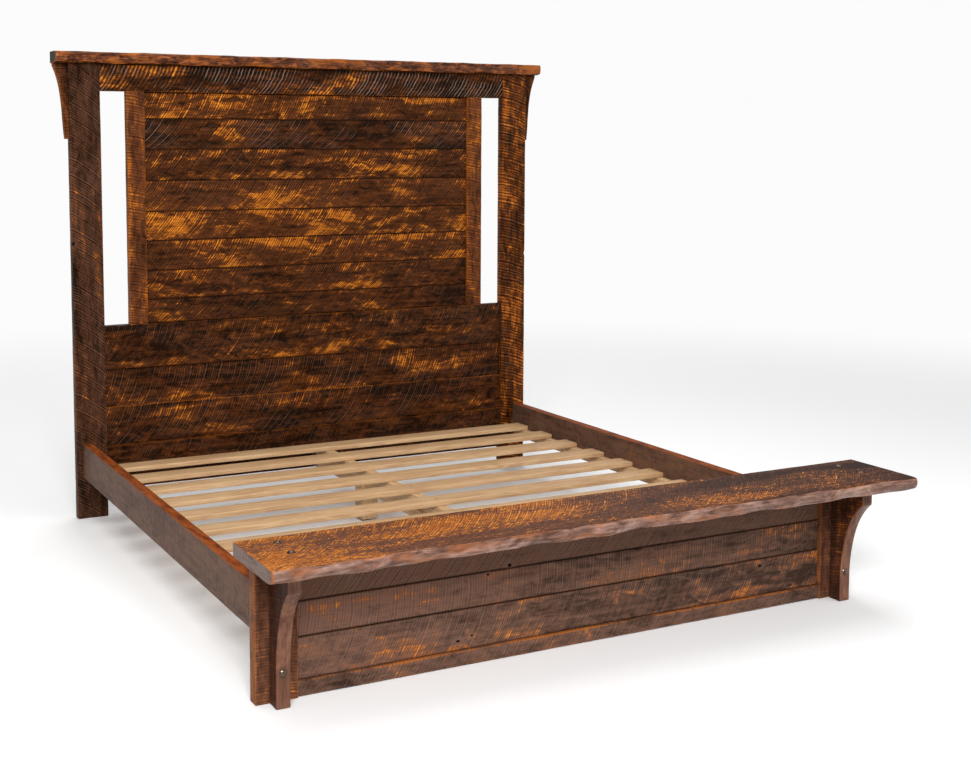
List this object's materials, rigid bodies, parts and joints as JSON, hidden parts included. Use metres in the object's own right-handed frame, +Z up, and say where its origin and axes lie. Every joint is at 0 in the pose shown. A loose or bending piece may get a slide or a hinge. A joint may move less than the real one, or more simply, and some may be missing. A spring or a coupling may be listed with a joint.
{
  "type": "bed frame",
  "caption": "King-size wooden bed frame in rough-sawn boards: tall plank headboard with a live-edge cap, side rails with slats, and a footboard that carries a live-edge bench.",
  "frame": {"origin": "middle of the footprint, on the floor", "axes": "+Z up, +Y from the bench towards the headboard, +X to the right of someone at the foot who looks at the headboard"},
  "size_m": [2.241, 2.449, 1.901],
  "materials": {
    "rough_sawn_frame": "rough-sawn, dark stain with amber rubbed through, satin",
    "rough_sawn_planks": "rough-sawn, curved saw marks, dark stain with amber rubbed through, satin",
    "live_edge_wood": "rough-sawn faces and smooth natural edge, satin",
    "side_rail_wood": "planed, grey-brown stain, satin",
    "corbel_wood": "smooth reddish brown with worn edges, satin",
    "plain_pine": "planed bare pine, matt",
    "dowel_wood": "bare hardwood",
    "bronzed_steel": "dark bronze, satin",
    "zinc_steel": "zinc plated",
    "black_plastic": "moulded, matt"
  },
  "bodies": {
    "root": {"beam_hangers": "zinc_steel", "bench_bolts": "bronzed_steel", "bench_top": "live_edge_wood", "centre_beam": "plain_pine", "centre_leg_foot": "plain_pine", "centre_leg_head": "plain_pine", "centre_leg_middle": "plain_pine", "corbel_bolts": "bronzed_steel", "corbel_nuts": "bronzed_steel", "dowels": "dowel_wood", "footboard_batten_centre": "plain_pine", "footboard_batten_left": "plain_pine", "footboard_batten_right": "plain_pine", "footboard_bottom_rail": "rough_sawn_frame", "footboard_corbel_left": "corbel_wood", "footboard_corbel_right": "corbel_wood", "footboard_plank_bottom": "rough_sawn_planks", "footboard_plank_middle": "rough_sawn_planks", "footboard_plank_top": "rough_sawn_planks", "footboard_post_left": "rough_sawn_frame", "footboard_post_right": "rough_sawn_frame", "headboard_bottom_rail": "rough_sawn_frame", "headboard_bracket_left": "corbel_wood", "headboard_bracket_right": "corbel_wood", "headboard_cap": "live_edge_wood", "headboard_lower_plank_1": "rough_sawn_planks", "headboard_lower_plank_2": "rough_sawn_planks", "headboard_middle_rail": "rough_sawn_frame", "headboard_plank_1": "rough_sawn_planks", "headboard_plank_2": "rough_sawn_planks", "headboard_plank_3": "rough_sawn_planks", "headboard_plank_4": "rough_sawn_planks", "headboard_plank_5": "rough_sawn_planks", "headboard_plank_6": "rough_sawn_planks", "headboard_plank_7": "rough_sawn_planks", "headboard_plank_8": "rough_sawn_planks", "headboard_post_left": "rough_sawn_frame", "headboard_post_right": "rough_sawn_frame", "headboard_stile_left": "rough_sawn_frame", "headboard_stile_right": "rough_sawn_frame", "headboard_top_rail": "rough_sawn_frame", "leg_glides": "black_plastic", "rail_hook_plates": "zinc_steel", "rail_socket_plates": "zinc_steel", "side_rail_left": "side_rail_wood", "side_rail_right": "side_rail_wood", "slat_01": "plain_pine", "slat_02": "plain_pine", "slat_03": "plain_pine", "slat_04": "plain_pine", "slat_05": "plain_pine", "slat_06": "plain_pine", "slat_07": "plain_pine", "slat_08": "plain_pine", "slat_09": "plain_pine", "slat_10": "plain_pine", "slat_cleat_left": "plain_pine", "slat_cleat_right": "plain_pine", "wood_screws": "zinc_steel"}
  },
  "joints": []
}
